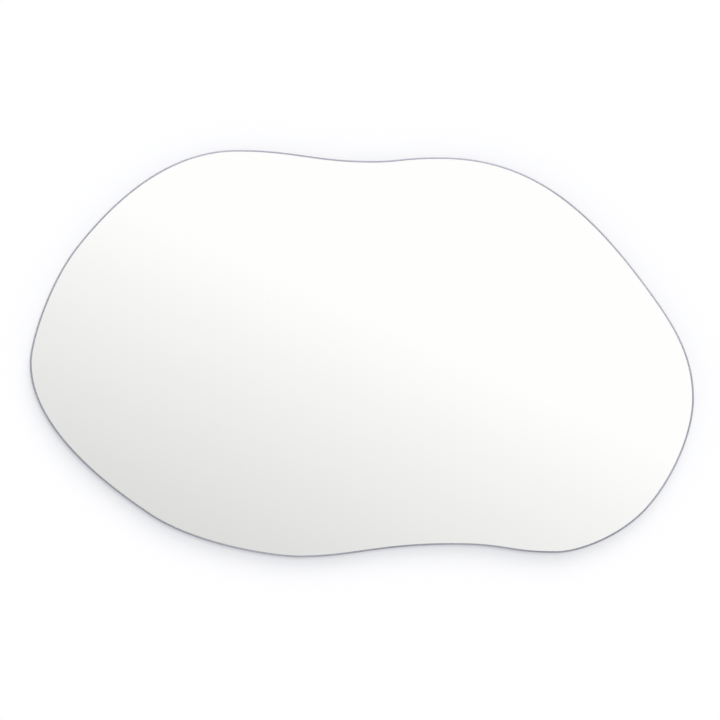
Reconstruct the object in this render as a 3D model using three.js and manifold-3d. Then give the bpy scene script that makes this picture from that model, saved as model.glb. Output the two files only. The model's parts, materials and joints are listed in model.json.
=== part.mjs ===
// Frameless wall mirror with a free-form outline.
//
// A pane of 4 mm silvered glass with a polished pencil edge is stuck with foam tape and beads of silicone
// to a smaller fibreboard panel. Four strap hangers with swinging D rings are screwed to the panel: two
// carry the mirror lying, two carry it upright. Four domed bumpers keep the panel off the wall.
//
// Millimetres. +X to the right and +Z up for someone looking at the mirror, whose face points towards -Y.
// The origin is on the wall, behind the middle of the pane.

import * as THREE from "three";
import { mergeVertices } from "three/addons/utils/BufferGeometryUtils.js";
import Module from "manifold-3d";

const wasm = await Module();
wasm.setup();

// ---- Outline of the pane ------------------------------------------------------------------------------
// One smooth closed curve, taken anticlockwise from its right end. Each knot has its place across and up
// from the middle, the heading of the edge there in degrees, and the lengths over which the curve keeps
// to that heading before and after the knot.
const rightEnd = { x: 450, z: -61, heading: 90, before: 50, after: 59 };
const upperRightShoulder = { x: 391, z: 84, heading: 126, before: 55, after: 146 };
const topRightCrest = { x: 106, z: 266, heading: 180, before: 120, after: 50 };
const topDip = { x: 15, z: 261, heading: 180, before: 36, after: 79 };
const topLeftCrest = { x: -169, z: 276, heading: 180, before: 77, after: 82 };
const upperLeftShoulder = { x: -387, z: 144, heading: 232, before: 102, after: 61 };
const leftEnd = { x: -450, z: -13, heading: 270, before: 30, after: 84 };
const lowerLeftSweep = { x: -287, z: -219, heading: 326.5, before: 83, after: 74 };
const bottomLeftLow = { x: -85, z: -276, heading: 0, before: 35, after: 73 };
const bottomRise = { x: 124, z: -259, heading: 0, before: 103, after: 74 };
const bottomRightLow = { x: 263, z: -270, heading: 0, before: 65, after: 33 };
const lowerRightTurn = { x: 382, z: -215, heading: 45.5, before: 46, after: 52 };
const outlineKnots = [
  rightEnd, upperRightShoulder, topRightCrest, topDip, topLeftCrest, upperLeftShoulder,
  leftEnd, lowerLeftSweep, bottomLeftLow, bottomRise, bottomRightLow, lowerRightTurn,
];

// ---- Layers, from the wall forwards -------------------------------------------------------------------
const bumperHeight = 6;
const boardThickness = 9;
const tapeThickness = 0.8;
const silverThickness = 0.2;
const glassThickness = 4;

// ---- Glass and its back panel -------------------------------------------------------------------------
const pencilEdgeFlat = 0.4;
const pencilEdgeSteps = 3;
const boardSetback = 28;
const boardEdgeEase = 0.8;

// ---- Strips of foam tape with beads of silicone between them ------------------------------------------
const tapeCount = 5;
const tapeWidth = 19;
const beadWidth = 11;
const outerTapeSetback = 88;
const stripEndMargin = 26;

// ---- Strap hangers with D rings -----------------------------------------------------------------------
const strapSheet = 0.9;
const strapWidth = 13;
const foldGap = 0.2;
const foldBendRadius = 1;
const ringWire = 2.6;
const ringCornerRadius = 2.5;
const ringLegLength = 4.5;
const ringButtGap = 0.3;
const ringToScrewGap = 3;
const screwPitch = 14;
const strapEndMargin = 8;
const lyingHangerSpread = 440;
const lyingHangerDrop = 46;
const uprightHangerSpread = 200;
const uprightHangerDrop = 46;

// ---- Pan head screws ----------------------------------------------------------------------------------
const screwDiameter = 3.5;
const screwLength = 9.5;
const screwHeadDiameter = 6.8;
const screwHeadHeight = 2.4;
const screwHeadCrown = 0.7;
const screwPointLength = 2.4;
const pilotExtraDepth = 0.8;

// ---- Wall bumpers -------------------------------------------------------------------------------------
const bumperDiameter = 14;
const bumperTipDiameter = 6;
const bumperEndSetback = 122;
const bumperEdgeMargin = 24;

// ---- Clearance between pieces that don't touch flat ---------------------------------------------------
const clearance = 0.3;

// ---- Fineness of the curves ---------------------------------------------------------------------------
const outlineSteps = 240;
const arcSegments = 5;
const turnedSides = 14;
const wireSides = 8;
const ringSteps = 40;

// ---- Planes and radii that follow from the sizes above ------------------------------------------------
const boardBack = -bumperHeight;
const boardFront = boardBack - boardThickness;
const silverBack = boardFront - tapeThickness;
const glassBack = silverBack - silverThickness;
const pencilEdgeRadius = (glassThickness - pencilEdgeFlat) / 2;
const loopInnerRadius = ringWire / 2 + clearance;
const loopOuterRadius = loopInnerRadius + strapSheet;
const strapThickness = 2 * strapSheet + foldGap;
const ringHalfWidth = strapWidth / 2 + clearance + ringCornerRadius;
const ringReach = ringCornerRadius + ringLegLength + ringHalfWidth;
const firstScrewDrop = ringReach + ringWire / 2 + ringToScrewGap + screwHeadDiameter / 2;
const screwDrops = [firstScrewDrop, firstScrewDrop + screwPitch];
const strapLength = screwDrops[1] + strapEndMargin;
const ringRestTilt = Math.asin((strapThickness + clearance + ringWire / 2 - loopOuterRadius) / ringReach);

// ---- Solids -------------------------------------------------------------------------------------------

// A closed mesh as a solid that can be cut and joined.
function solidFrom(geometry) {
  const bare = geometry.clone();
  bare.deleteAttribute("normal");
  bare.deleteAttribute("uv");
  const merged = mergeVertices(bare, 1e-4);
  return new wasm.Manifold(new wasm.Mesh({
    numProp: 3,
    vertProperties: new Float32Array(merged.getAttribute("position").array),
    triVerts: new Uint32Array(merged.index.array),
  }));
}

function geometryFrom(solid) {
  const mesh = solid.getMesh();
  const geometry = new THREE.BufferGeometry();
  geometry.setAttribute("position", new THREE.BufferAttribute(mesh.vertProperties, 3));
  geometry.setIndex(new THREE.BufferAttribute(mesh.triVerts, 1));
  geometry.computeVertexNormals();
  return geometry;
}

// A flat outline, drawn as seen from the front, made into a plate. Its back is at y = 0 and its front is
// one thickness towards -Y. The edge of both faces may be rounded, or eased with a single step.
function plate(outline, thickness, edgeRadius = 0, edgeSteps = 1) {
  const geometry = new THREE.ExtrudeGeometry(outline, {
    depth: thickness - 2 * edgeRadius,
    curveSegments: arcSegments,
    bevelEnabled: edgeRadius > 0,
    bevelThickness: edgeRadius,
    bevelSize: edgeRadius,
    bevelOffset: -edgeRadius,
    bevelSegments: edgeSteps,
  });
  geometry.translate(0, 0, edgeRadius);
  geometry.rotateX(Math.PI / 2);
  return geometry;
}

// ---- The outline and what is measured from it ---------------------------------------------------------

function along(knot, length) {
  const heading = THREE.MathUtils.degToRad(knot.heading);
  return new THREE.Vector2(knot.x + length * Math.cos(heading), knot.z + length * Math.sin(heading));
}

function outlineCurve() {
  const curve = new THREE.CurvePath();
  outlineKnots.forEach((knot, index) => {
    const next = outlineKnots[(index + 1) % outlineKnots.length];
    curve.add(new THREE.CubicBezierCurve(
      along(knot, 0), along(knot, knot.after), along(next, -next.before), along(next, 0),
    ));
  });
  return curve;
}

const outlinePoints = outlineCurve().getSpacedPoints(outlineSteps).slice(0, outlineSteps);

// The outline drawn in by a distance, square to the edge at every point.
function insetPoints(distance) {
  return outlinePoints.map((point, index) => {
    const before = outlinePoints[(index + outlineSteps - 1) % outlineSteps];
    const after = outlinePoints[(index + 1) % outlineSteps];
    const direction = after.clone().sub(before).normalize();
    return new THREE.Vector2(point.x - direction.y * distance, point.y + direction.x * distance);
  });
}

const boardPoints = insetPoints(boardSetback);
const boardLeft = Math.min(...boardPoints.map((point) => point.x));
const boardRight = Math.max(...boardPoints.map((point) => point.x));

// Lowest and highest place of the panel's edge on the line where one coordinate ("x" or "y") has a value.
function panelSpan(axis, value) {
  const other = axis === "x" ? "y" : "x";
  const crossings = [];
  boardPoints.forEach((point, index) => {
    const next = boardPoints[(index + 1) % outlineSteps];
    const share = (value - point[axis]) / (next[axis] - point[axis]);
    if (share >= 0 && share < 1) {
      crossings.push(THREE.MathUtils.lerp(point[other], next[other], share));
    }
  });
  return { low: Math.min(...crossings), high: Math.max(...crossings) };
}

// ---- Glass, silvering and panel -----------------------------------------------------------------------

function glassPane() {
  return plate(new THREE.Shape(outlinePoints), glassThickness, pencilEdgeRadius, pencilEdgeSteps);
}

function silverBacking() {
  return plate(new THREE.Shape(insetPoints(pencilEdgeRadius)), silverThickness);
}

function backBoard(pilotHoles) {
  const blank = plate(new THREE.Shape(boardPoints), boardThickness, boardEdgeEase);
  return geometryFrom(pilotHoles.reduce((panel, hole) => panel.subtract(hole), solidFrom(blank)));
}

// ---- Tape and silicone --------------------------------------------------------------------------------

// Where each upright strip stands: evenly over the panel, tape and silicone by turns, tape outermost.
function stripPlaces() {
  const first = boardLeft + outerTapeSetback;
  const last = boardRight - outerTapeSetback;
  const stripCount = 2 * tapeCount - 1;
  return Array.from({ length: stripCount }, (_, index) => {
    const x = THREE.MathUtils.lerp(first, last, index / (stripCount - 1));
    const { low, high } = panelSpan("x", x);
    return { x, low: low + stripEndMargin, high: high - stripEndMargin, isTape: index % 2 === 0 };
  });
}

function tapeStrip({ x, low, high }) {
  const half = tapeWidth / 2;
  const corners = [[x - half, low], [x + half, low], [x + half, high], [x - half, high]];
  return plate(new THREE.Shape(corners.map(([px, pz]) => new THREE.Vector2(px, pz))), tapeThickness);
}

function siliconeBead({ x, low, high }) {
  const half = beadWidth / 2;
  const outline = new THREE.Shape();
  outline.absarc(x, low + half, half, Math.PI, 2 * Math.PI);
  outline.absarc(x, high - half, half, 0, Math.PI);
  return plate(outline, tapeThickness);
}

// ---- Strap hanger: local frame with the board at y = 0, the ring's axis over z = 0, the plate below -----

// The folded sheet seen from the side: along the board, round the ring's bar and back over itself.
function foldedSheetProfile() {
  const bendHeight = strapThickness + foldBendRadius;
  const bendDistance = Math.sqrt(
    (loopOuterRadius + foldBendRadius) ** 2 - (bendHeight - loopOuterRadius) ** 2,
  );
  const bendAngle = Math.atan2(bendHeight - loopOuterRadius, bendDistance);
  const gapTop = strapSheet + foldGap;
  const gapAngle = Math.asin((gapTop - loopOuterRadius) / loopInnerRadius);
  const profile = new THREE.Shape();
  profile.moveTo(strapLength, 0);
  profile.lineTo(0, 0);
  profile.absarc(0, loopOuterRadius, loopOuterRadius, -Math.PI / 2, bendAngle - 2 * Math.PI, true);
  profile.absarc(bendDistance, bendHeight, foldBendRadius, Math.PI + bendAngle, 1.5 * Math.PI);
  profile.lineTo(strapLength, strapThickness);
  profile.lineTo(strapLength, gapTop);
  profile.absarc(0, loopOuterRadius, loopInnerRadius, gapAngle, 1.5 * Math.PI);
  profile.lineTo(strapLength, strapSheet);
  return profile;
}

// The strap seen from behind: straight sides and a round end.
function strapPlan() {
  const half = strapWidth / 2;
  const plan = new THREE.Shape();
  plan.moveTo(half, 2 * loopOuterRadius);
  plan.lineTo(-half, 2 * loopOuterRadius);
  plan.absarc(0, half - strapLength, half, Math.PI, 2 * Math.PI);
  return plan;
}

// A round cutter standing on the board, from a low to a high distance off it.
function drill(radius, low, high) {
  const cutter = new THREE.CylinderGeometry(radius, radius, high - low, turnedSides);
  return cutter.translate(0, (low + high) / 2, 0);
}

function hangerStrap() {
  const sheet = new THREE.ExtrudeGeometry(foldedSheetProfile(), {
    depth: strapWidth,
    curveSegments: arcSegments,
    bevelEnabled: false,
  });
  sheet.translate(0, 0, -strapWidth / 2);
  sheet.rotateY(Math.PI / 2);
  const height = 2 * loopOuterRadius;
  const plan = plate(strapPlan(), height + 2 * clearance).translate(0, height + clearance, 0);
  const rounded = solidFrom(sheet).intersect(solidFrom(plan));
  const holeRadius = screwDiameter / 2 + clearance;
  return geometryFrom(screwDrops.reduce((strap, drop) => {
    const hole = drill(holeRadius, -clearance, height).translate(0, 0, -drop);
    return strap.subtract(solidFrom(hole));
  }, rounded));
}

// An arc in the ring's own plane, for a path in space.
class FlatArc extends THREE.Curve {
  constructor(x, y, radius, from, to) {
    super();
    Object.assign(this, { x, y, radius, from, to });
  }

  getPoint(share, target = new THREE.Vector3()) {
    const angle = THREE.MathUtils.lerp(this.from, this.to, share);
    const { x, y, radius } = this;
    return target.set(x + radius * Math.cos(angle), y + radius * Math.sin(angle), 0);
  }
}

// The D ring's wire, from one side of the butt joint in the strap's loop round to the other.
class RingWirePath extends THREE.CurvePath {
  constructor() {
    super();
    const straight = ringHalfWidth - ringCornerRadius;
    const legEnd = ringCornerRadius + ringLegLength;
    const line = (x1, y1, x2, y2) => this.add(
      new THREE.LineCurve3(new THREE.Vector3(x1, y1, 0), new THREE.Vector3(x2, y2, 0)),
    );
    const bend = (x, y, radius, from, to) => this.add(new FlatArc(x, y, radius, from, to));
    line(ringButtGap / 2, 0, straight, 0);
    bend(straight, ringCornerRadius, ringCornerRadius, -Math.PI / 2, 0);
    line(ringHalfWidth, ringCornerRadius, ringHalfWidth, legEnd);
    bend(0, legEnd, ringHalfWidth, 0, Math.PI);
    line(-ringHalfWidth, legEnd, -ringHalfWidth, ringCornerRadius);
    bend(-straight, ringCornerRadius, ringCornerRadius, Math.PI, 1.5 * Math.PI);
    line(-straight, 0, -ringButtGap / 2, 0);
  }
}

function hangerRing() {
  const wire = new THREE.Shape();
  wire.absarc(0, 0, ringWire / 2, 0, 2 * Math.PI);
  return new THREE.ExtrudeGeometry(wire, {
    extrudePath: new RingWirePath(),
    steps: ringSteps,
    curveSegments: wireSides / 2,
  });
}

function panHeadScrew() {
  const head = screwHeadDiameter / 2;
  const shank = screwDiameter / 2;
  const profile = [
    [0, -screwLength],
    [shank, screwPointLength - screwLength],
    [shank, 0],
    [head, 0],
    [head, screwHeadHeight - 2 * screwHeadCrown],
    [head - screwHeadCrown / 2, screwHeadHeight - screwHeadCrown],
    [head / 2, screwHeadHeight - screwHeadCrown / 4],
    [0, screwHeadHeight],
  ];
  return new THREE.LatheGeometry(profile.map(([radius, y]) => new THREE.Vector2(radius, y)), turnedSides);
}

// ---- Wall bumper: a low dome with a flat tip, standing on y = 0 -----------------------------------------

function wallBumper() {
  const outer = bumperDiameter / 2;
  const tip = bumperTipDiameter / 2;
  const skirt = bumperHeight / 3;
  const dome = new THREE.EllipseCurve(tip, skirt, outer - tip, bumperHeight - skirt, 0, Math.PI / 2);
  const profile = [
    new THREE.Vector2(0, 0),
    new THREE.Vector2(outer, 0),
    ...dome.getPoints(5),
    new THREE.Vector2(0, bumperHeight),
  ];
  return new THREE.LatheGeometry(profile, turnedSides);
}

// ---- Finishes -----------------------------------------------------------------------------------------

const finishes = {
  glass: { color: 0xdfe8e5, roughness: 0.03, metalness: 0 },
  silvering: { color: 0xe6e8e8, roughness: 0.08, metalness: 1 },
  foam: { color: 0xe9e8e3, roughness: 0.9, metalness: 0 },
  silicone: { color: 0xd5d8d6, roughness: 0.45, metalness: 0 },
  fibreboard: { color: 0x9a7650, roughness: 0.85, metalness: 0 },
  zinc: { color: 0xb9bcc0, roughness: 0.35, metalness: 1 },
  rubber: { color: 0xe4e6e2, roughness: 0.3, metalness: 0 },
};

function piece(name, geometry, finish) {
  const mesh = new THREE.Mesh(geometry, new THREE.MeshStandardMaterial(finishes[finish]));
  mesh.name = name;
  return mesh;
}

function pieceAt(name, geometry, finish, y) {
  const mesh = piece(name, geometry, finish);
  mesh.position.y = y;
  return mesh;
}

// ---- Places of the hangers and bumpers ----------------------------------------------------------------

// The rings of a pair are level: the lower of the two edges above them sets the height of both.
function lyingHangerPlaces() {
  const half = lyingHangerSpread / 2;
  const level = Math.min(panelSpan("x", -half).high, panelSpan("x", half).high) - lyingHangerDrop;
  return [
    { name: "top_left", x: -half, z: level, turn: 0 },
    { name: "top_right", x: half, z: level, turn: 0 },
  ];
}

// The pair for hanging upright points to the left end, which is then the top.
function uprightHangerPlaces() {
  const half = uprightHangerSpread / 2;
  const level = Math.max(panelSpan("y", -half).low, panelSpan("y", half).low) + uprightHangerDrop;
  return [
    { name: "end_upper", x: level, z: half, turn: -Math.PI / 2 },
    { name: "end_lower", x: level, z: -half, turn: -Math.PI / 2 },
  ];
}

function bumperPlaces() {
  const inset = bumperEdgeMargin + bumperDiameter / 2;
  const sides = [["left", boardLeft + bumperEndSetback], ["right", boardRight - bumperEndSetback]];
  return sides.flatMap(([side, x]) => {
    const { low, high } = panelSpan("x", x);
    return [
      { name: `top_${side}`, x, z: high - inset },
      { name: `bottom_${side}`, x, z: low + inset },
    ];
  });
}

// ---- Assembly -----------------------------------------------------------------------------------------

const mirror = new THREE.Group();

mirror.add(pieceAt("glass_pane", glassPane(), "glass", glassBack));
mirror.add(pieceAt("silver_backing", silverBacking(), "silvering", silverBack));

const strips = stripPlaces();
strips.filter((strip) => strip.isTape).forEach((strip, index) => {
  mirror.add(pieceAt(`foam_tape_${index + 1}`, tapeStrip(strip), "foam", boardFront));
});
strips.filter((strip) => !strip.isTape).forEach((strip, index) => {
  mirror.add(pieceAt(`silicone_bead_${index + 1}`, siliconeBead(strip), "silicone", boardFront));
});

const pilotHoles = [];
for (const { name, x, z, turn } of [...lyingHangerPlaces(), ...uprightHangerPlaces()]) {
  const hanger = new THREE.Group();
  hanger.position.set(x, boardBack, z);
  hanger.rotation.y = turn;
  mirror.add(hanger);

  hanger.add(piece(`hanger_strap_${name}`, hangerStrap(), "zinc"));

  const ring = pieceAt(`hanger_ring_${name}`, hangerRing(), "zinc", loopOuterRadius);
  ring.rotation.x = ringRestTilt - Math.PI / 2;
  hanger.add(ring);

  hanger.updateMatrixWorld();
  screwDrops.forEach((drop, index) => {
    const screw = pieceAt(`hanger_screw_${name}_${index + 1}`, panHeadScrew(), "zinc", strapThickness);
    screw.position.z = -drop;
    hanger.add(screw);
    const depth = screwLength - strapThickness + pilotExtraDepth;
    const pilot = drill(screwDiameter / 2 + clearance, -depth, clearance).translate(0, 0, -drop);
    const board = new THREE.Matrix4().makeTranslation(0, -boardBack, 0).multiply(hanger.matrixWorld);
    pilotHoles.push(solidFrom(pilot.applyMatrix4(board)));
  });
}

mirror.add(pieceAt("back_board", backBoard(pilotHoles), "fibreboard", boardBack));

for (const { name, x, z } of bumperPlaces()) {
  const bumper = pieceAt(`wall_bumper_${name}`, wallBumper(), "rubber", boardBack);
  bumper.position.x = x;
  bumper.position.z = z;
  mirror.add(bumper);
}

export default mirror;
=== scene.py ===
import json
import math

import bmesh
import bpy
from mathutils import Matrix, Vector, noise


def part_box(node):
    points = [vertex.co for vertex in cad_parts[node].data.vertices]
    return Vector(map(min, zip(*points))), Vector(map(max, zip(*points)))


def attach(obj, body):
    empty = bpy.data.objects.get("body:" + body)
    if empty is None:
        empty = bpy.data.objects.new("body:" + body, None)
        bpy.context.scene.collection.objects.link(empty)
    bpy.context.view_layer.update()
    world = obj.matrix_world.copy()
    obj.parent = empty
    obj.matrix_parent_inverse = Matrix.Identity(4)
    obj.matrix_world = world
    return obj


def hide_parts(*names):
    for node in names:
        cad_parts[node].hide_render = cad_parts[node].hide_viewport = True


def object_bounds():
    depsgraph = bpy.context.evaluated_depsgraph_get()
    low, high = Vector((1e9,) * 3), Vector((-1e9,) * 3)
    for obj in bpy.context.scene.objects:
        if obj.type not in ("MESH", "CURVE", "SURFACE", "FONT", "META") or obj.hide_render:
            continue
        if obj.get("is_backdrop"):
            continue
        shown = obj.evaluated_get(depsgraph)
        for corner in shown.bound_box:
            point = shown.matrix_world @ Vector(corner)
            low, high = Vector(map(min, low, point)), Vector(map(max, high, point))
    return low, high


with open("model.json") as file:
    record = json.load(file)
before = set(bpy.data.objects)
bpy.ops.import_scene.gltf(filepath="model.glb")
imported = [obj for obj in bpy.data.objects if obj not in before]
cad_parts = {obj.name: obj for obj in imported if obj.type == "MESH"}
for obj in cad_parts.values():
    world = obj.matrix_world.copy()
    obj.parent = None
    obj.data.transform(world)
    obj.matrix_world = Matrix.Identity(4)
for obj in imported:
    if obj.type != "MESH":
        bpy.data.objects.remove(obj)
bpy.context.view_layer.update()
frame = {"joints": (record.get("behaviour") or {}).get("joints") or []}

# ---- The view -----------------------------------------------------------------------------------------
# A long lens square on to the mirror, 2.3 m in front of it and level with its middle, so that the
# outline is seen with almost no perspective.
lens = bpy.data.cameras.new("view_lens")
lens.lens = 85
lens.sensor_width = 36
camera = bpy.data.objects.new("view_camera", lens)
camera.location = (-0.00251, -2.3216, -0.00873)
camera.rotation_euler = (math.pi / 2, 0, 0)
bpy.context.scene.collection.objects.link(camera)
bpy.context.scene.camera = camera
bpy.context.scene.view_settings.view_transform = "Standard"

# ---- The room that the mirror looks into --------------------------------------------------------------
# A bright pale studio. It is lightest above and to the right of the camera and falls off towards the
# lower left, which is the slow change of tone that the mirror shows. The background itself is white.


def put(tree, kind, **sockets):
    """A shader node. Names in small letters are its settings. The others are its inputs, by name or,
    after an underscore, by number: a value sets the input, and an output is linked to it."""
    node = tree.nodes.new("ShaderNode" + kind)
    for name, value in sockets.items():
        if name.islower():
            setattr(node, name, value)
            continue
        socket = node.inputs[int(name[1:])] if name[0] == "_" else node.inputs[name.replace("_", " ")]
        if isinstance(value, bpy.types.NodeSocket):
            tree.links.new(value, socket)
        else:
            socket.default_value = value
    return node


def maths(tree, operation, *values):
    """The result of an operation on values, each a number or an output."""
    inputs = {f"_{place}": value for place, value in enumerate(values)}
    return put(tree, "Math", operation=operation, **inputs).outputs[0]


def stretch(tree, value, low, high, to_low=0.0, to_high=1.0):
    """What lies from low to high in a value, laid over another range and held at its ends."""
    node = put(tree, "MapRange", Value=value, From_Min=low, From_Max=high, To_Min=to_low, To_Max=to_high)
    return node.outputs["Result"]


def ramp(tree, factor, stops):
    """A colour ramp from (position, colour) stops."""
    node = put(tree, "ValToRGB", _0=factor)
    elements = node.color_ramp.elements
    while len(elements) < len(stops):
        elements.new(0.5)
    for element, (position, colour) in zip(elements, stops):
        element.position = position
        element.color = (*colour, 1)
    return node.outputs["Color"]


def either(tree, factor, first, second):
    """The first shader where the factor is 0 and the second where it is 1."""
    return put(tree, "MixShader", _0=factor, _1=first, _2=second).outputs[0]


def background(tree, colour, strength):
    """An even light from all round."""
    return put(tree, "Background", Color=colour, Strength=strength).outputs[0]


studio = bpy.data.worlds.new("studio")
studio.use_nodes = True
room = studio.node_tree
room.nodes.clear()
toward = put(room, "TexCoord").outputs["Generated"]
brightest_way = (0.42, 0.0, 0.908)
lift = put(room, "VectorMath", operation="DOT_PRODUCT", _0=toward, _1=brightest_way).outputs["Value"]
tone = ramp(room, stretch(room, lift, -1.0, 1.0), [
    (0.0, (0.90, 0.90, 0.89)),
    (0.12, (0.80, 0.80, 0.79)),
    (0.25, (0.575, 0.575, 0.57)),
    (0.33, (0.52, 0.52, 0.515)),
    (0.40, (0.615, 0.617, 0.607)),
    (0.5115, (1.015, 1.015, 1.015)),
    (1.0, (1.02, 1.02, 1.02)),
])
rays = put(room, "LightPath").outputs
mirrored = maths(room, "MAXIMUM", rays["Is Glossy Ray"], rays["Is Transmission Ray"])
no_bounce_yet = maths(room, "LESS_THAN", rays["Diffuse Depth"], 0.5)
seen_in_mirror = maths(room, "MULTIPLY", mirrored, no_bounce_yet)
ambient = background(room, (0.97, 0.98, 1.0, 1), 0.38)
light_or_image = either(room, seen_in_mirror, ambient, background(room, tone, 1.0))
shown = either(room, rays["Is Camera Ray"], light_or_image, background(room, (1, 1, 1, 1), 1.0))
put(room, "OutputWorld", Surface=shown)
bpy.context.scene.world = studio

# ---- Soft lamps ---------------------------------------------------------------------------------------
# A soft lamp near the camera and a wider one above it make the shadow that the mirror throws down the
# wall. Two more stand behind, for the hangers and the back panel.


def soft_lamp(name, tilt, turn, spread, brightness):
    """A far soft lamp. Tilt is its angle off the mirror's forward direction, turn its angle round that
    direction from the right, spread its whole width, all in degrees; brightness is on a wall facing -Y.
    It lights what is seen, and no second bounce of it gets through the one-sided wall."""
    tilt, turn = math.radians(tilt), math.radians(turn)
    aside = math.sin(tilt)
    toward_lamp = Vector((aside * math.cos(turn), -math.cos(tilt), aside * math.sin(turn)))
    light = bpy.data.lights.new(name, "SUN")
    light.angle = math.radians(spread)
    light.energy = brightness * math.pi / abs(math.cos(tilt))
    light.cycles.use_multiple_importance_sampling = False
    light.use_nodes = True
    tree = light.node_tree
    tree.nodes.clear()
    bounces = put(tree, "LightPath").outputs["Diffuse Depth"]
    shine = put(tree, "Emission", Strength=maths(tree, "LESS_THAN", bounces, 0.5))
    put(tree, "OutputLight", Surface=shine.outputs[0])
    lamp = bpy.data.objects.new(name, light)
    lamp.rotation_mode = "QUATERNION"
    lamp.rotation_quaternion = toward_lamp.to_track_quat("Z", "Y")
    lamp.visible_glossy = False
    lamp.visible_transmission = False
    bpy.context.scene.collection.objects.link(lamp)


soft_lamp("front_lamp", tilt=16, turn=47, spread=18, brightness=0.38)
soft_lamp("overhead_lamp", tilt=48, turn=73, spread=44, brightness=0.24)
soft_lamp("rear_lamp", tilt=150, turn=60, spread=40, brightness=0.45)
soft_lamp("rear_overhead_lamp", tilt=118, turn=110, spread=50, brightness=0.25)

# ---- Wall and floor -----------------------------------------------------------------------------------
# The mirror hangs on a white wall, which takes its soft shadow and shows from the front only. The floor
# is far below, pale and plain. Neither is seen in the mirror, which shows the room alone.
wall_gap = 0.0005
wall_size = 6
floor_size = 12
floor_height = -1.5


def new_material(name):
    """An empty material, and its nodes."""
    material = bpy.data.materials.new(name)
    material.use_nodes = True
    material.node_tree.nodes.clear()
    return material, material.node_tree


def backdrop(name, size, place, paint, glow):
    """A large one-sided sheet with matt paint. Its glow makes it white to whoever sees it, and lights
    nothing."""
    sheet = bmesh.new()
    bmesh.ops.create_grid(sheet, x_segments=1, y_segments=1, size=size / 2)
    sheet.transform(place)
    mesh = bpy.data.meshes.new(name)
    sheet.to_mesh(mesh)
    sheet.free()
    material, tree = new_material(name + "_paint")
    rays = put(tree, "LightPath").outputs
    mirrored = maths(tree, "MAXIMUM", rays["Is Glossy Ray"], rays["Is Transmission Ray"])
    seen = maths(tree, "MAXIMUM", rays["Is Camera Ray"], mirrored)
    matt = put(tree, "BsdfDiffuse", Color=(*paint, 1)).outputs[0]
    shine = put(tree, "Emission", Color=(*glow, 1), Strength=seen).outputs[0]
    front = put(tree, "AddShader", _0=matt, _1=shine).outputs[0]
    clear = put(tree, "BsdfTransparent").outputs[0]
    from_behind = put(tree, "NewGeometry").outputs["Backfacing"]
    put(tree, "OutputMaterial", Surface=either(tree, from_behind, front, clear))
    mesh.materials.append(material)
    plane = bpy.data.objects.new(name, mesh)
    plane.visible_diffuse = False
    plane.visible_shadow = False
    plane.visible_glossy = False
    bpy.context.scene.collection.objects.link(plane)
    plane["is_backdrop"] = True
    return plane


wall_place = Matrix.Translation((0, wall_gap, 0)) @ Matrix.Rotation(math.pi / 2, 4, "X")
floor_place = Matrix.Translation((0, 0, floor_height))
backdrop("wall", wall_size, wall_place, (0.62, 0.605, 0.59), (0.388, 0.402, 0.43))
floor = backdrop("floor", floor_size, floor_place, (0.60, 0.60, 0.60), (0.45, 0.45, 0.45))
floor.visible_transmission = False

# ---- Glass pane ---------------------------------------------------------------------------------------
# One pane of 4 mm float glass, cut to a free-form outline. Its edge is ground to a half round (a pencil
# edge) and polished to a satin. The edge's dark grey-blue colour is partly the ground glass and partly
# painted shade, so it shows as a thin grey-blue line all the way round.
mm = 0.001
glass_front = -20 * mm
glass_back = -16 * mm
pencil_radius = 1.8 * mm
pencil_steps = 8
weld = 0.001 * mm

# Each knot: across and up from the middle, the heading of the edge there in degrees, and how far the
# curve keeps to that heading before and after it. Anticlockwise from the right end.
outline_knots = [
    (450, -61, 90, 50, 59),
    (391, 84, 126, 55, 146),
    (106, 266, 180, 120, 50),
    (15, 261, 180, 36, 79),
    (-169, 276, 180, 77, 82),
    (-387, 144, 232, 102, 61),
    (-450, -13, 270, 30, 84),
    (-287, -219, 326.5, 83, 74),
    (-85, -276, 0, 35, 73),
    (124, -259, 0, 103, 74),
    (263, -270, 0, 65, 33),
    (382, -215, 45.5, 46, 52),
]


def bent_line(name, knots, closed, steps):
    """A smooth line through knots, drawn in the XZ plane in millimetres."""
    line = bpy.data.curves.new(name, "CURVE")
    line.dimensions = "3D"
    line.resolution_u = steps
    bends = line.splines.new("BEZIER")
    bends.bezier_points.add(len(knots) - 1)
    bends.use_cyclic_u = closed
    for point, (across, up, heading, before, after) in zip(bends.bezier_points, knots):
        place = Vector((across, 0, up)) * mm
        way = Vector((math.cos(math.radians(heading)), 0, math.sin(math.radians(heading)))) * mm
        point.handle_left_type = point.handle_right_type = "FREE"
        point.co = place
        point.handle_left = place - way * before
        point.handle_right = place + way * after
    return line


def mesh_of(data):
    """The mesh of a curve, taken off a passing object."""
    carrier = bpy.data.objects.new(data.name, data)
    mesh = bpy.data.meshes.new_from_object(carrier)
    bpy.data.objects.remove(carrier)
    return mesh


pane_outline = mesh_of(bent_line("pane_outline", outline_knots, closed=True, steps=56))


def draw_out(flat, way):
    """Draws a flat shape out along a way into a solid."""
    risen = bmesh.ops.extrude_face_region(flat, geom=flat.faces[:])["geom"]
    moved = [item for item in risen if isinstance(item, bmesh.types.BMVert)]
    bmesh.ops.translate(flat, verts=moved, vec=way)
    bmesh.ops.recalc_face_normals(flat, faces=flat.faces)


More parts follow.
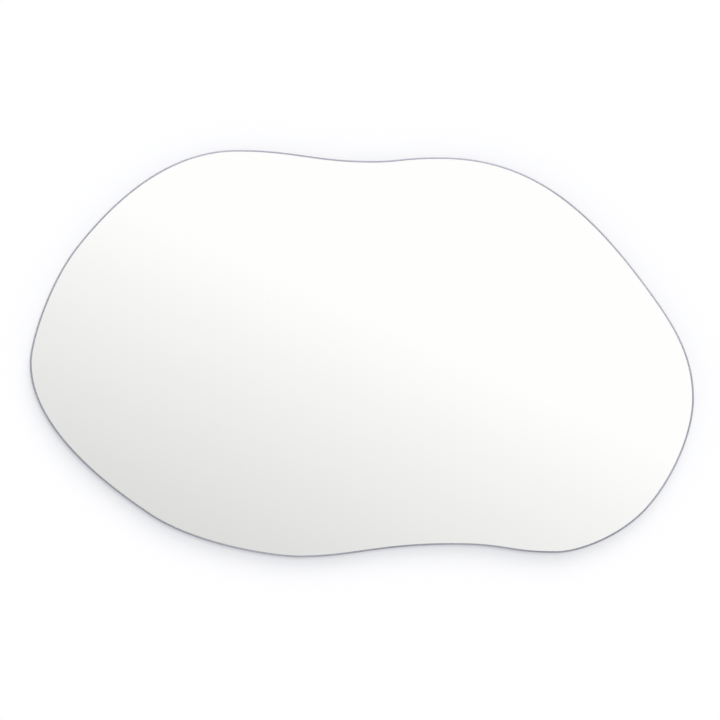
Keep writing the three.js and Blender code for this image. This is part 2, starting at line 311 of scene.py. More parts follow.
def sheet_blank(inset, back, front):
    """A flat sheet cut to the pane's outline, drawn in by the inset, from y = back to y = front."""
    blank = bmesh.new()
    blank.from_mesh(pane_outline)
    bmesh.ops.remove_doubles(blank, verts=blank.verts, dist=10 * weld)
    bmesh.ops.edgeloop_fill(blank, edges=blank.edges)
    if inset:
        outer = list(blank.verts)
        bmesh.ops.inset_region(
            blank, faces=blank.faces, thickness=inset, use_boundary=True, use_even_offset=True,
        )
        bmesh.ops.delete(blank, geom=outer, context="VERTS")
    bmesh.ops.translate(blank, verts=blank.verts, vec=(0, back, 0))
    draw_out(blank, (0, front - back, 0))
    return blank


def is_cap(face):
    """One of the two large flat faces of a sheet."""
    return len(face.verts) > 8


def rim_edges(blank):
    """The edges round the two large flat faces."""
    return [edge for edge in blank.edges if sum(is_cap(face) for face in edge.link_faces) == 1]


def round_edges(shape, edges, radius, steps, clamp=False):
    """Rounds edges off, in steps; clamped, a rounding stops where it would meet another."""
    bmesh.ops.bevel(
        shape, geom=edges, offset=radius, offset_type="OFFSET", segments=steps, profile=0.5,
        affect="EDGES", material=-1, clamp_overlap=clamp,
    )


def add_piece(name, shape, materials, body="mirror", replaced=None):
    """The finished bmesh becomes a piece that rides on a body and stands for the CAD node."""
    mesh = bpy.data.meshes.new(name)
    shape.to_mesh(mesh)
    shape.free()
    for material in materials:
        mesh.materials.append(material)
    piece = bpy.data.objects.new(name, mesh)
    bpy.context.scene.collection.objects.link(piece)
    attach(piece, body)
    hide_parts(replaced)


def speckle(tree, spot, size, detail, roughness=0.5):
    """A cloudy pattern, finer as its size number grows."""
    return put(tree, "TexNoise", Vector=spot, Scale=size, Detail=detail, Roughness=roughness).outputs["Fac"]


def blend_colour(tree, factor, first, second):
    """One colour over another by a factor; each is a colour or an output."""
    def colour(value):
        return value if isinstance(value, bpy.types.NodeSocket) else (*value, 1)
    return put(tree, "Mix", data_type="RGBA", _0=factor, _6=colour(first), _7=colour(second)).outputs[2]


def principled(tree, **sockets):
    """The material's surface."""
    surface = put(tree, "BsdfPrincipled", **sockets)
    put(tree, "OutputMaterial", Surface=surface.outputs[0])


pane = sheet_blank(0, glass_back, glass_front)
round_edges(pane, rim_edges(pane), pencil_radius, pencil_steps)
for face in pane.faces:
    face.smooth = not is_cap(face)
    face.material_index = 0 if is_cap(face) else 1

clear_glass, tree = new_material("clear_float_glass")
principled(
    tree, Base_Color=(0.992, 0.996, 0.994, 1), Roughness=0.0, IOR=1.52, Transmission_Weight=1.0,
)

ground_edge, tree = new_material("ground_glass_edge")
spot = put(tree, "TexCoord").outputs["Object"]
haze = stretch(tree, speckle(tree, spot, 900.0, 3.0), 0.3, 0.7, 0.22, 0.38)
# Painted shade and light on the edge: a darkened grey-blue stands for the shade seen through the edge, and
# slow patches make some stretches of the line darker and others lighter.
depth = stretch(tree, speckle(tree, spot, 4.5, 1.0), 0.35, 0.65)
edge_colour_and_painted_shade = blend_colour(tree, depth, (0.47, 0.47, 0.56), (0.66, 0.66, 0.76))
principled(tree, Base_Color=edge_colour_and_painted_shade, Roughness=haze, IOR=1.52, Transmission_Weight=0.35)
add_piece("float_glass_pane", pane, [clear_glass, ground_edge], replaced="glass_pane")

# ---- Silvering ----------------------------------------------------------------------------------------
# The reflecting silver is laid on the glass itself, up to where the pencil edge starts, and a coat of
# grey paint over it keeps it from the damp. It is seen from behind all round the panel.
silver_front = -16.02 * mm
silver_back = -15.8 * mm
silver = sheet_blank(pencil_radius, silver_back, silver_front)
for face in silver.faces:
    at_glass = face.calc_center_median().y < (silver_front + silver_back) / 2
    face.material_index = 0 if is_cap(face) and at_glass else 1

silver_mirror, tree = new_material("mirror_silver")
principled(tree, Base_Color=(0.985, 0.981, 0.975, 1), Metallic=1.0, Roughness=0.0)


def effect_group(name, inputs, output):
    """A node group for an effect that several finishes share, with the ends to build it between."""
    group = bpy.data.node_groups.new(name, "ShaderNodeTree")
    for socket, kind, value in inputs:
        made = group.interface.new_socket(socket, in_out="INPUT", socket_type="NodeSocket" + kind)
        if value is not None:
            made.default_value = value
    group.interface.new_socket(output, in_out="OUTPUT", socket_type="NodeSocketFloat")
    return group, group.nodes.new("NodeGroupInput").outputs, group.nodes.new("NodeGroupOutput").inputs


def effect(tree, group, **values):
    """An effect group placed in a material; gives its one output."""
    node = tree.nodes.new("ShaderNodeGroup")
    node.node_tree = group
    for name, value in values.items():
        if isinstance(value, bpy.types.NodeSocket):
            tree.links.new(value, node.inputs[name])
        else:
            node.inputs[name].default_value = value
    return node.outputs[0]


# Uneven tone: soft blotches with a finer speckle in them, between a low and a high value.
blotches, given, result = effect_group(
    "blotches",
    [("Vector", "Vector", None), ("Size", "Float", 60.0), ("Low", "Float", 0.3), ("High", "Float", 0.5)],
    "Value",
)
broad = speckle(blotches, given["Vector"], given["Size"], 2.0)
fine = speckle(blotches, given["Vector"], maths(blotches, "MULTIPLY", given["Size"], 9.0), 3.0)
both = put(blotches, "Mix", _0=0.35, _2=broad, _3=fine).outputs[0]
blotches.links.new(stretch(blotches, both, 0.36, 0.64, given["Low"], given["High"]), result["Value"])

# Dust that has settled on what faces up.
settled_dust, given, result = effect_group(
    "settled_dust", [("Vector", "Vector", None), ("Amount", "Float", 0.5)], "Mask",
)
facing = put(settled_dust, "NewGeometry").outputs["Normal"]
upward = put(settled_dust, "SeparateXYZ", _0=facing).outputs["Z"]
ledge = stretch(settled_dust, upward, 0.15, 0.95)
grains = stretch(settled_dust, speckle(settled_dust, given["Vector"], 1400.0, 4.0), 0.35, 0.70)
lying_there = maths(settled_dust, "MULTIPLY", ledge, grains)
settled_dust.links.new(maths(settled_dust, "MULTIPLY", lying_there, given["Amount"]), result["Mask"])
dust_colour = (0.42, 0.40, 0.37)


def dusty(tree, spot, amount, colour):
    """A colour with some dust on it."""
    return blend_colour(tree, effect(tree, settled_dust, Vector=spot, Amount=amount), colour, dust_colour)


def relief(tree, height, strength, distance):
    """The small relief of a surface, whose full height is the distance in metres."""
    return put(tree, "Bump", Strength=strength, Distance=distance, Height=height).outputs["Normal"]


backing_paint, tree = new_material("mirror_backing_paint")
spot = put(tree, "TexCoord").outputs["Object"]
cloud = effect(tree, blotches, Vector=spot, Size=14.0, Low=0.0, High=1.0)
grey = blend_colour(tree, cloud, (0.150, 0.166, 0.176), (0.196, 0.212, 0.222))
principled(
    tree, Base_Color=dusty(tree, spot, 0.5, grey),
    Roughness=effect(tree, blotches, Vector=spot, Size=30.0, Low=0.38, High=0.55),
    Normal=relief(tree, speckle(tree, spot, 420.0, 2.0), 0.25, 0.0002),
)
add_piece("silvered_backing", silver, [silver_mirror, backing_paint], replaced="silver_backing")

# ---- Foam tape ----------------------------------------------------------------------------------------
# Five strips of white closed-cell mirror tape, cut with scissors. They hold the pane to the panel while
# the silicone cures, and bulge a little at their sides where the glass presses them.
tape_bulge = 0.18 * mm
tape_corner = 0.8 * mm
foam, tree = new_material("white_foam")
spot = put(tree, "TexCoord").outputs["Object"]
cells = put(tree, "TexVoronoi", Vector=spot, Scale=1600.0).outputs["Distance"]
white_foam = blend_colour(tree, stretch(tree, cells, 0.0, 0.7), (0.80, 0.79, 0.75), (0.70, 0.69, 0.65))
principled(tree, Base_Color=white_foam, Roughness=0.85, Normal=relief(tree, cells, 0.5, 0.0001))


def block(low, high):
    """A box between two corners, to be worked further."""
    shape = bmesh.new()
    bmesh.ops.create_cube(shape, size=1)
    bmesh.ops.scale(shape, verts=shape.verts, vec=high - low)
    bmesh.ops.translate(shape, verts=shape.verts, vec=(low + high) / 2)
    return shape


def through_edges(shape):
    """The edges that run through the tape's thickness."""
    return [edge for edge in shape.edges if abs(edge.verts[0].co.y - edge.verts[1].co.y) > 0.1 * mm]


for number in range(1, 6):
    low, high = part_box(f"foam_tape_{number}")
    middle = (low + high) / 2
    tape = block(low, high)
    round_edges(tape, through_edges(tape), tape_corner, 3)
    cut = bmesh.ops.subdivide_edges(tape, edges=through_edges(tape), cuts=3, use_grid_fill=True)
    for vert in {item for item in cut["geom_inner"] if isinstance(item, bmesh.types.BMVert)}:
        swell = 1 - ((vert.co.y - middle.y) / (high.y - middle.y)) ** 2
        vert.co.x += math.copysign(tape_bulge * swell, vert.co.x - middle.x)
    for face in tape.faces:
        face.smooth = abs(face.normal.y) < 0.5
    add_piece(f"tape_strip_{number}", tape, [foam], replaced=f"foam_tape_{number}")

# ---- Silicone -----------------------------------------------------------------------------------------
# Four beads of neutral-cure silicone between the strips of tape. Each was gunned as a round bead and
# pressed flat, so its sides wander and its ends are round.
bead_steps = 90
bead_rim = 0.25 * mm
side_wander = 0.12
waves_per_metre = 55
silicone, tree = new_material("pressed_silicone")
spot = put(tree, "TexCoord").outputs["Object"]
milky = effect(tree, blotches, Vector=spot, Size=90.0, Low=0.0, High=1.0)
principled(
    tree, Base_Color=blend_colour(tree, milky, (0.62, 0.64, 0.64), (0.72, 0.74, 0.73)),
    Roughness=effect(tree, blotches, Vector=spot, Size=50.0, Low=0.30, High=0.45),
    IOR=1.41, Subsurface_Weight=0.25, Subsurface_Scale=0.001,
)

for number in range(1, 5):
    low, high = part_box(f"silicone_bead_{number}")
    middle = (low + high) / 2
    half = (high.x - low.x) / 2
    bead = bmesh.new()
    bmesh.ops.create_grid(bead, x_segments=2, y_segments=bead_steps, size=0.5)
    for vert in bead.verts:
        side, share = round(vert.co.x * 2), vert.co.y + 0.5
        up = low.z + share * (high.z - low.z)
        to_end = min(up - low.z, high.z - up)
        round_end = math.sqrt(max(0, 1 - max(0, 1 - to_end / half) ** 2))
        own_wave = Vector((number * 7.3 + side * 2.1, up * waves_per_metre, 0.4))
        wander = 1 - side_wander + side_wander * noise.noise(own_wave)
        vert.co = (middle.x + side * half * wander * round_end, high.y, up)
    bmesh.ops.remove_doubles(bead, verts=bead.verts, dist=20 * weld)
    draw_out(bead, (0, low.y - high.y, 0))
    rim = [edge for edge in bead.edges if not edge.is_boundary and edge.calc_face_angle(0) > 1]
    round_edges(bead, rim, bead_rim, 3, clamp=True)
    for face in bead.faces:
        face.smooth = True
    add_piece(f"sealant_bead_{number}", bead, [silicone], replaced=f"silicone_bead_{number}")

# ---- Fibreboard panel ---------------------------------------------------------------------------------
# A 9 mm panel of raw medium-density fibreboard, cut 28 mm inside the pane's edge and drilled for the
# hangers' screws. Its edges are eased and sprayed black so that they don't show beside the glass, and
# some of the spray has drifted on to the back.
board_front = -15 * mm
board_back = -6 * mm
board_setback = 28 * mm
edge_ease = 0.8 * mm
spray_reach = 14 * mm
pilot_radius = 2.05 * mm
pilot_depth = 8.3 * mm
screw_drops = (24 * mm, 38 * mm)

# A hanger's own frame lies on the panel: its ring swings round X, above the origin, and its strap runs
# down from there with the screws at their drops. The ring's joint says where that is.
hanger_places = {}
for joint in frame["joints"]:
    name = joint["name"].removeprefix("ring_").removesuffix("_swing")
    across, _, up = joint["pos_m"]
    turn = -math.atan2(joint["axis"][2], joint["axis"][0])
    hanger_places[name] = Matrix.Translation((across, board_back, up)) @ Matrix.Rotation(turn, 4, "Y")


def add_drill(cutter, place, radius, drop, low, high):
    """A round bar square to the panel, from low to high, added to a cutter for a hanger's screw hole."""
    bar = Matrix.Translation((0, (low + high) / 2, -drop)) @ Matrix.Rotation(math.pi / 2, 4, "X")
    bmesh.ops.create_cone(
        cutter, cap_ends=True, segments=32, radius1=radius, radius2=radius, depth=high - low,
        matrix=place @ bar,
    )


def boolean(operation, other):
    """A step for through_modifiers: the other bmesh is joined to the shape or cut out of it."""
    return "BOOLEAN", {"operation": operation, "solver": "EXACT", "object": other}


def through_modifiers(shape, steps):
    """The bmesh with modifiers applied, each a kind and its settings. A bmesh among the settings is
    given as an object, and used up."""
    passing = []

    def passing_object(form):
        mesh = bpy.data.meshes.new("passing")
        form.to_mesh(mesh)
        form.free()
        passing.append(bpy.data.objects.new("passing", mesh))
        bpy.context.scene.collection.objects.link(passing[-1])
        return passing[-1]

    blank = passing_object(shape)
    for kind, settings in steps:
        modifier = blank.modifiers.new(kind, kind)
        for name, value in settings.items():
            setattr(modifier, name, passing_object(value) if isinstance(value, bmesh.types.BMesh) else value)
    made = bpy.data.meshes.new_from_object(blank.evaluated_get(bpy.context.evaluated_depsgraph_get()))
    finished = bmesh.new()
    finished.from_mesh(made)
    bmesh.ops.dissolve_degenerate(finished, edges=finished.edges, dist=0.2 * weld)
    bpy.data.meshes.remove(made)
    for item in passing:
        mesh = item.data
        bpy.data.objects.remove(item)
        bpy.data.meshes.remove(mesh)
    return finished


board = sheet_blank(board_setback, board_back, board_front)
round_edges(board, rim_edges(board), edge_ease, 3)
edge_spray = board.verts.layers.float.new("edge_spray")
for vert in board.verts:
    vert[edge_spray] = 1.0
back_face = next(face for face in board.faces if is_cap(face) and face.normal.y > 0.5)
bmesh.ops.inset_region(board, faces=[back_face], thickness=spray_reach, use_even_offset=True)
for vert in back_face.verts:
    vert[edge_spray] = 0.0
for face in board.faces:
    is_flat = abs(face.normal.y) > 0.99
    face.smooth = not is_flat
    face.material_index = 0 if is_flat else 1
pilots = bmesh.new()
for place in hanger_places.values():
    for drop in screw_drops:
        add_drill(pilots, place, pilot_radius, drop, -pilot_depth, mm)
board = through_modifiers(board, [boolean("DIFFERENCE", pilots)])

fibreboard, tree = new_material("raw_fibreboard")
spot = put(tree, "TexCoord").outputs["Object"]
pale_fibre = (0.56, 0.41, 0.26)
felted = speckle(tree, spot, 1100.0, 6.0, 0.75)
pale = ramp(tree, felted, [
    (0.28, (0.270, 0.168, 0.090)),
    (0.50, (0.400, 0.262, 0.148)),
    (0.72, (0.520, 0.362, 0.218)),
])
clump = stretch(tree, speckle(tree, spot, 130.0, 3.0), 0.35, 0.70, 0.0, 0.42)
toned = blend_colour(tree, clump, pale, (0.285, 0.182, 0.100))
fibres = felted
for lay, (angle, colour) in enumerate([
    (0.4, pale_fibre),
    (1.5, (0.20, 0.125, 0.068)),
    (2.6, (0.57, 0.42, 0.27)),
    (3.9, (0.18, 0.112, 0.062)),
    (4.8, (0.22, 0.135, 0.072)),
]):
    turned_spot = put(tree, "Mapping", Vector=spot, Location=(lay, 0, 0), Rotation=(0, angle, 0)).outputs[0]
    drawn = put(tree, "Mapping", Vector=turned_spot, Scale=(520.0, 700.0, 3400.0)).outputs[0]
    hair = stretch(tree, speckle(tree, drawn, 1.0, 1.5), 0.60, 0.76, 0.0, 0.5)
    toned = blend_colour(tree, hair, toned, colour)
    fibres = maths(tree, "ADD", fibres, hair)
broad_tone = effect(tree, blotches, Vector=spot, Size=5.0, Low=0.0, High=0.30)
clouded = blend_colour(tree, broad_tone, toned, (0.47, 0.33, 0.20))
along_belt = put(tree, "Mapping", Vector=spot, Scale=(14.0, 30.0, 1300.0)).outputs[0]
sanding = stretch(tree, speckle(tree, along_belt, 1.0, 3.0), 0.50, 0.75, 0.0, 0.22)
sanded = blend_colour(tree, sanding, clouded, pale_fibre)
near_edge = put(tree, "Attribute", attribute_name="edge_spray").outputs["Fac"]
drift = maths(tree, "MULTIPLY_ADD", speckle(tree, spot, 22.0, 2.0), 0.55, near_edge)
thrown = maths(tree, "MULTIPLY_ADD", speckle(tree, spot, 900.0, 5.0, 0.75), 0.9, drift)
black_paint = (0.018, 0.018, 0.019)
painted = blend_colour(tree, stretch(tree, thrown, 1.10, 1.70), sanded, black_paint)
principled(
    tree, Base_Color=dusty(tree, spot, 0.35, painted),
    Roughness=effect(tree, blotches, Vector=spot, Size=40.0, Low=0.72, High=0.88),
    Normal=relief(tree, fibres, 0.35, 0.00015),
)

edge_paint, tree = new_material("black_edge_paint")
spot = put(tree, "TexCoord").outputs["Object"]
thin = speckle(tree, spot, 600.0, 5.0, 0.7)
worn = stretch(tree, thin, 0.62, 0.80, 0.0, 0.5)
black = blend_colour(tree, worn, black_paint, (0.075, 0.055, 0.040))
principled(
    tree, Base_Color=dusty(tree, spot, 0.22, black),
    Roughness=effect(tree, blotches, Vector=spot, Size=60.0, Low=0.50, High=0.68),
    Normal=relief(tree, thin, 0.4, 0.0002),
)
add_piece("fibreboard_panel", board, [fibreboard, edge_paint], replaced="back_board")

# ---- Strap hangers ------------------------------------------------------------------------------------
# Four hangers of 0.9 mm zinc-plated steel strip, 13 mm wide: the strip is wrapped round the bar of a
# D ring and folded back on itself, its end is cut round, and two screws go through both layers.
sheet = 0.9 * mm
strap_width = 13 * mm
strap_thickness = 2 * mm
strap_length = 46 * mm
loop_outer = 2.5 * mm
fold_radius = 1 * mm
edge_break = 0.13 * mm
hole_radius = 2.05 * mm


def line_to(shape, tip, place):
    """A straight stretch drawn from the tip of a line; gives the new tip."""
    tip = bmesh.ops.extrude_vert_indiv(shape, verts=tip)["verts"]
    tip[0].co = place
    return tip


def arc_to(shape, tip, centre, axis, angle, steps):
    """A round stretch drawn from the tip of a line; gives the new tip."""
    return bmesh.ops.spin(shape, geom=tip, cent=centre, axis=axis, angle=angle, steps=steps)["geom_last"]


def shade_smooth(shape, sharp_from):
    """Smooth shading, broken at the edges that turn by more than an angle in degrees."""
    for face in shape.faces:
        face.smooth = True
    for edge in shape.edges:
        edge.smooth = edge.calc_face_angle(0) < math.radians(sharp_from)


def folded_strip(spare):
    """The strip's middle line, bent round the loop and back, drawn out wider and longer by a spare."""
    side = strap_width / 2 + spare
    end = -strap_length - spare
    bend_height = strap_thickness + fold_radius
    bend_reach = math.sqrt((loop_outer + fold_radius) ** 2 - (bend_height - loop_outer) ** 2)
    bend_angle = math.atan2(bend_height - loop_outer, bend_reach)
    strip = bmesh.new()
    tip = bmesh.ops.create_vert(strip, co=(-side, sheet / 2, end))["vert"]
    tip = line_to(strip, tip, (-side, sheet / 2, 0))
    tip = arc_to(strip, tip, (-side, loop_outer, 0), (1, 0, 0), bend_angle - 1.5 * math.pi, 32)
    tip = arc_to(strip, tip, (-side, bend_height, -bend_reach), (1, 0, 0), math.pi / 2 - bend_angle, 8)
    line_to(strip, tip, (-side, strap_thickness - sheet / 2, end))
    drawn = bmesh.ops.extrude_edge_only(strip, edges=strip.edges[:])["geom"]
    moved = [item for item in drawn if isinstance(item, bmesh.types.BMVert)]
    bmesh.ops.translate(strip, verts=moved, vec=(2 * side, 0, 0))
    bmesh.ops.recalc_face_normals(strip, faces=strip.faces)
    return strip


def strap_outline():
    """A thick blank with the outline of the strap: straight sides and a round lower end."""
    half = strap_width / 2
    top, foot = 2 * loop_outer, half - strap_length
    blank = bmesh.new()
    first = bmesh.ops.create_vert(blank, co=(-half, -mm, top))["vert"]
    tip = line_to(blank, first, (-half, -mm, foot))
    tip = arc_to(blank, tip, (0, -mm, foot), (0, 1, 0), -math.pi, 40)
    tip = line_to(blank, tip, (half, -mm, top))
    bmesh.ops.contextual_create(blank, geom=first + tip)
    bmesh.ops.edgeloop_fill(blank, edges=blank.edges)
    draw_out(blank, (0, 4 * loop_outer, 0))
    return blank


def zinc_finish(name, grain, low, high):
    """Bright zinc plate over steel. Grain is how finely its drawing marks lie along each axis, and low
    and high are the ends of its roughness."""
    finish, tree = new_material(name)
    spot = put(tree, "TexCoord").outputs["Object"]
    bloom = effect(tree, blotches, Vector=spot, Size=110.0, Low=0.0, High=1.0)
    plated = blend_colour(tree, bloom, (0.46, 0.48, 0.52), (0.61, 0.61, 0.60))
    crystals = put(tree, "TexVoronoi", Vector=spot, Scale=520.0).outputs["Color"]
    flake = put(tree, "SeparateXYZ", _0=crystals).outputs["X"]
    spangled = blend_colour(tree, stretch(tree, flake, 0.0, 1.0, 0.0, 0.35), plated, (0.41, 0.44, 0.49))
    drawn = put(tree, "Mapping", Vector=spot, Scale=grain).outputs[0]
    marks = speckle(tree, drawn, 1.0, 4.0, 0.7)
    rubbed = stretch(tree, marks, 0.56, 0.72, 0.0, 0.45)
    bright = blend_colour(tree, rubbed, spangled, (0.74, 0.75, 0.76))
    principled(
        tree, Base_Color=dusty(tree, spot, 0.2, bright), Metallic=1.0,
        Roughness=effect(tree, blotches, Vector=spot, Size=220.0, Low=low, High=high),
        Normal=relief(tree, marks, 0.3, 0.00006),
    )
    return finish


holes = bmesh.new()
for drop in screw_drops:
    add_drill(holes, Matrix(), hole_radius, drop, -mm, 2 * strap_thickness)
eased = {"width": edge_break, "segments": 2, "limit_method": "ANGLE", "angle_limit": math.radians(50)}
strap = through_modifiers(folded_strip(mm), [
    ("SOLIDIFY", {"thickness": sheet, "offset": 0, "use_even_offset": True}),
    boolean("INTERSECT", strap_outline()),
    boolean("DIFFERENCE", holes),
    ("BEVEL", eased),
])
shade_smooth(strap, sharp_from=35)
upright_zinc = zinc_finish("zinc_plated_strip_upright", (3200.0, 1500.0, 160.0), 0.26, 0.42)
level_zinc = zinc_finish("zinc_plated_strip_level", (160.0, 1500.0, 3200.0), 0.26, 0.42)
for name, place in hanger_places.items():
    fixed = strap.copy()
    fixed.transform(place)
    strap_zinc = level_zinc if name.startswith("end") else upright_zinc
    add_piece(f"folded_strap_{name}", fixed, [strap_zinc], replaced=f"hanger_strap_{name}")

# ---- D rings ------------------------------------------------------------------------------------------
# Each ring is 2.6 mm zinc-plated wire bent to a D, its two ends meeting inside the strap's loop. It
# swings on the loop and lies over the strap when nothing holds it.
wire_radius = 1.3 * mm
ring_clearance = 0.3 * mm

# The ring's measures in millimetres, as its knots are. A round corner's handles are a fixed share of its
# radius, the one for a quarter of a circle.
ring_half = 9.3
corner = 2.5
leg_end = 7.0
butt_half = 0.15
straight = 1.5
ring_reach = leg_end + ring_half
quarter = 0.5523
ring_knots = [
    (butt_half, 0, 0, 1, 2),
    (ring_half - corner, 0, 0, 2, quarter * corner),
    (ring_half, corner, 90, quarter * corner, straight),
    (ring_half, leg_end, 90, straight, quarter * ring_half),
    (0, ring_reach, 180, quarter * ring_half, quarter * ring_half),
    (-ring_half, leg_end, 270, quarter * ring_half, straight),
    (-ring_half, corner, 270, straight, quarter * corner),
    (corner - ring_half, 0, 0, quarter * corner, 2),
    (-butt_half, 0, 0, 2, 1),
]
wire = bent_line("ring_wire", ring_knots, closed=False, steps=14)
wire.bevel_depth = wire_radius
wire.bevel_resolution = 6
wire.use_fill_caps = True
ring = bmesh.new()
ring.from_mesh(mesh_of(wire))
bmesh.ops.remove_doubles(ring, verts=ring.verts, dist=weld)
bmesh.ops.recalc_face_normals(ring, faces=ring.faces)
for face in ring.faces:
    face.smooth = len(face.verts) == 4
ring_lift = strap_thickness + ring_clearance + wire_radius - loop_outer
rest_tilt = math.asin(ring_lift / (ring_reach * mm))
ring.transform(Matrix.Translation((0, loop_outer, 0)) @ Matrix.Rotation(math.pi + rest_tilt, 4, "X"))
ring_zinc = zinc_finish("zinc_plated_wire", (900.0, 900.0, 900.0), 0.20, 0.34)
for name, place in hanger_places.items():
    hung = ring.copy()
    hung.transform(place)
    add_piece(
        f"d_ring_{name}", hung, [ring_zinc], body=f"ring_{name}",
        replaced=f"hanger_ring_{name}",
    )

# ---- Screws -------------------------------------------------------------------------------------------
# Two 3.5 x 9.5 mm pan head wood screws to a hanger, zinc plated, with a cross recess. Their heads bear
# on the strap and their points stop short of the front of the panel.
screw_length = 9.5 * mm
point_length = 2.4 * mm
core_radius = 1.15 * mm
neck_fillet = 0.45 * mm
head_radius = 3.4 * mm
head_height = 2.4 * mm
head_side = 1 * mm
head_ease = 0.12 * mm
shoulder_radius = 1 * mm
thread_radius = 1.75 * mm
thread_root = 0.9 * mm
thread_pitch = 1.4 * mm
thread_top = -1 * mm
thread_bottom = -9 * mm
crest_half = 0.06 * mm
root_half = 0.42 * mm
sunk_start = 0.15
run_in = 1 * mm
recess_length = 3.9 * mm
recess_width = 0.85 * mm
recess_depth = 1.5 * mm
recess_spare = 0.3 * mm
recess_taper = (0.42, 0.8)


def turned(line, steps):
    """A line drawn in the XY plane from axis to axis, turned round Y into a closed shape."""
    bmesh.ops.spin(
        line, geom=line.verts[:] + line.edges[:], cent=(0, 0, 0), axis=(0, 1, 0), angle=2 * math.pi,
        steps=steps, use_merge=True,
    )
    bmesh.ops.remove_doubles(line, verts=line.verts, dist=weld)
    bmesh.ops.recalc_face_normals(line, faces=line.faces)
    return line


def screw_blank():
    """The screw without thread or recess. The head's crown runs into its round shoulder without a break."""
    rise = head_height - head_side
    crown_reach = head_radius - shoulder_radius
    crown_radius = (rise ** 2 + crown_reach ** 2 - shoulder_radius ** 2) / (2 * (rise - shoulder_radius))
    crown_turn = math.atan2(crown_reach, crown_radius - rise)
    axis = (0, 0, 1)
    line = bmesh.new()
    tip = bmesh.ops.create_vert(line, co=(0, -screw_length, 0))["vert"]
    tip = line_to(line, tip, (core_radius, point_length - screw_length, 0))
    tip = line_to(line, tip, (core_radius, -neck_fillet, 0))
    tip = arc_to(line, tip, (core_radius + neck_fillet, -neck_fillet, 0), axis, -math.pi / 2, 4)
    tip = line_to(line, tip, (head_radius - head_ease, 0, 0))
    tip = arc_to(line, tip, (head_radius - head_ease, head_ease, 0), axis, math.pi / 2, 3)
    tip = line_to(line, tip, (head_radius, head_side, 0))
    tip = arc_to(line, tip, (crown_reach, head_side, 0), axis, math.pi / 2 - crown_turn, 8)
    arc_to(line, tip, (0, head_height - crown_radius, 0), axis, crown_turn, 6)
    return turned(line, 40)


def screw_thread():
    """The thread's section, wound down the core. It grows out of the core and shrinks to the point."""
    thread = bmesh.new()
    corners = []
    for reach, rise in [
        (thread_root, root_half),
        (thread_radius, crest_half),
        (thread_radius, -crest_half),
        (thread_root, -root_half),
    ]:
        corners += bmesh.ops.create_vert(thread, co=(reach, thread_top + rise, 0))["vert"]
    bmesh.ops.contextual_create(thread, geom=corners)
    turns = (thread_top - thread_bottom) / thread_pitch
    steps = round(turns * 24)
    bmesh.ops.spin(
        thread, geom=thread.verts[:] + thread.edges[:] + thread.faces[:], cent=(0, 0, 0), axis=(0, 1, 0),
        angle=-2 * math.pi * turns, steps=steps, dvec=(0, (thread_bottom - thread_top) / steps, 0),
    )
    for vert in thread.verts:
        reach = math.hypot(vert.co.x, vert.co.z)
        grown = min(1, sunk_start + max(0, thread_top - vert.co.y) / run_in)
        pointed = min(1, (vert.co.y + screw_length) / point_length)
        share = (thread_root + (reach - thread_root) * grown) * pointed / reach
        vert.co.x *= share
        vert.co.z *= share
    bmesh.ops.recalc_face_normals(thread, faces=thread.faces)
    return thread


def recess_wing(turn):
    """One wing of the cross recess: a bar that narrows to a short flat bottom."""
    bottom, top = head_height - recess_depth, head_height + recess_spare
    half_length, half_width = recess_length / 2, recess_width / 2
    wing = block(Vector((-half_length, bottom, -half_width)), Vector((half_length, top, half_width)))
    for vert in wing.verts:
        if vert.co.y < head_height:
            vert.co.x *= recess_taper[0]
            vert.co.z *= recess_taper[1]
    wing.transform(Matrix.Rotation(turn, 4, "Y"))
    return wing


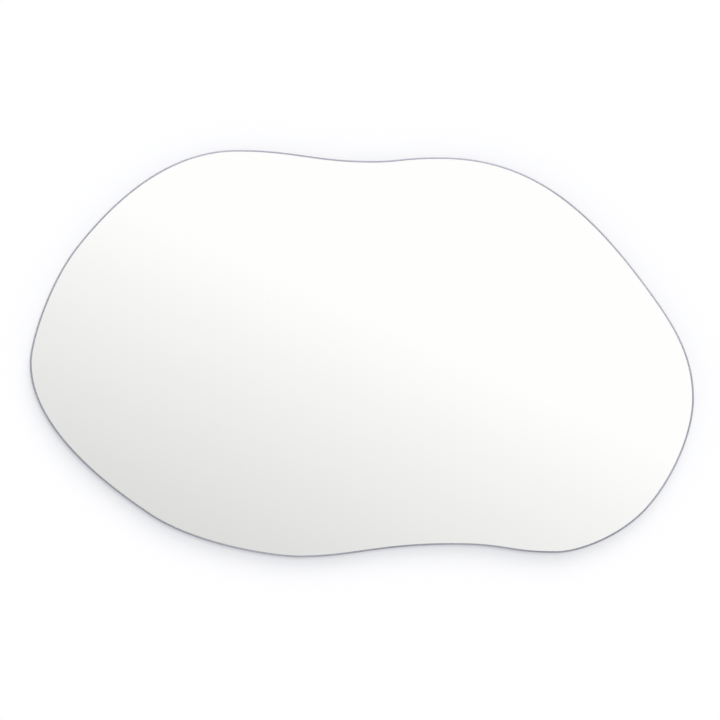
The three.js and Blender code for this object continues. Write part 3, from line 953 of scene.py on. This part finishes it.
screw = through_modifiers(screw_blank(), [
    boolean("UNION", screw_thread()),
    boolean("DIFFERENCE", recess_wing(0)),
    boolean("DIFFERENCE", recess_wing(math.pi / 2)),
])
shade_smooth(screw, sharp_from=38)
screw_zinc = zinc_finish("zinc_plated_screw", (1500.0, 1500.0, 1500.0), 0.22, 0.36)
screw_turns = iter((0.3, 1.1, 0.75, 0.1, 1.35, 0.5, 0.9, 0.2))
for name, place in hanger_places.items():
    for number, drop in enumerate(screw_drops, 1):
        driven = screw.copy()
        seat = Matrix.Translation((0, strap_thickness, -drop))
        driven.transform(place @ seat @ Matrix.Rotation(next(screw_turns), 4, "Y"))
        add_piece(
            f"pan_screw_{name}_{number}", driven, [screw_zinc],
            replaced=f"hanger_screw_{name}_{number}",
        )

# ---- Wall bumpers -------------------------------------------------------------------------------------
# Four clear polyurethane domes with a flat tip, stuck to the panel near its corners. They keep it level
# and off the wall.
bumper_height = 6 * mm
bumper_radius = 7 * mm
tip_radius = 3 * mm
skirt = 2 * mm
urethane, tree = new_material("clear_urethane")
spot = put(tree, "TexCoord").outputs["Object"]
haze = effect(tree, blotches, Vector=spot, Size=200.0, Low=0.0, High=1.0)
body = put(
    tree, "BsdfPrincipled", Base_Color=blend_colour(tree, haze, (0.90, 0.92, 0.90), (0.96, 0.97, 0.96)),
    Roughness=effect(tree, blotches, Vector=spot, Size=300.0, Low=0.06, High=0.16),
    IOR=1.49, Transmission_Weight=0.9,
)
let_through = put(tree, "BsdfTransparent", Color=(0.82, 0.83, 0.82, 1))
from_lamp = put(tree, "LightPath").outputs["Is Shadow Ray"]
surface = either(tree, from_lamp, body.outputs[0], let_through.outputs[0])
put(tree, "OutputMaterial", Surface=surface)

line = bmesh.new()
tip = bmesh.ops.create_vert(line, co=(0, 0, 0))["vert"]
tip = line_to(line, tip, (bumper_radius, 0, 0))
tip = line_to(line, tip, (bumper_radius, skirt, 0))
tip = arc_to(line, tip, (tip_radius, skirt, 0), (0, 0, 1), math.pi / 2, 14)
line_to(line, tip, (0, bumper_height, 0))
dome = turned(line, 56)
for face in dome.faces:
    face.smooth = abs(face.normal.y) < 0.995
for name in ("top_left", "bottom_left", "top_right", "bottom_right"):
    low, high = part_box(f"wall_bumper_{name}")
    stuck = dome.copy()
    stuck.transform(Matrix.Translation(((low.x + high.x) / 2, low.y, (low.z + high.z) / 2)))
    add_piece(f"clear_bumper_{name}", stuck, [urethane], replaced=f"wall_bumper_{name}")

low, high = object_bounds()
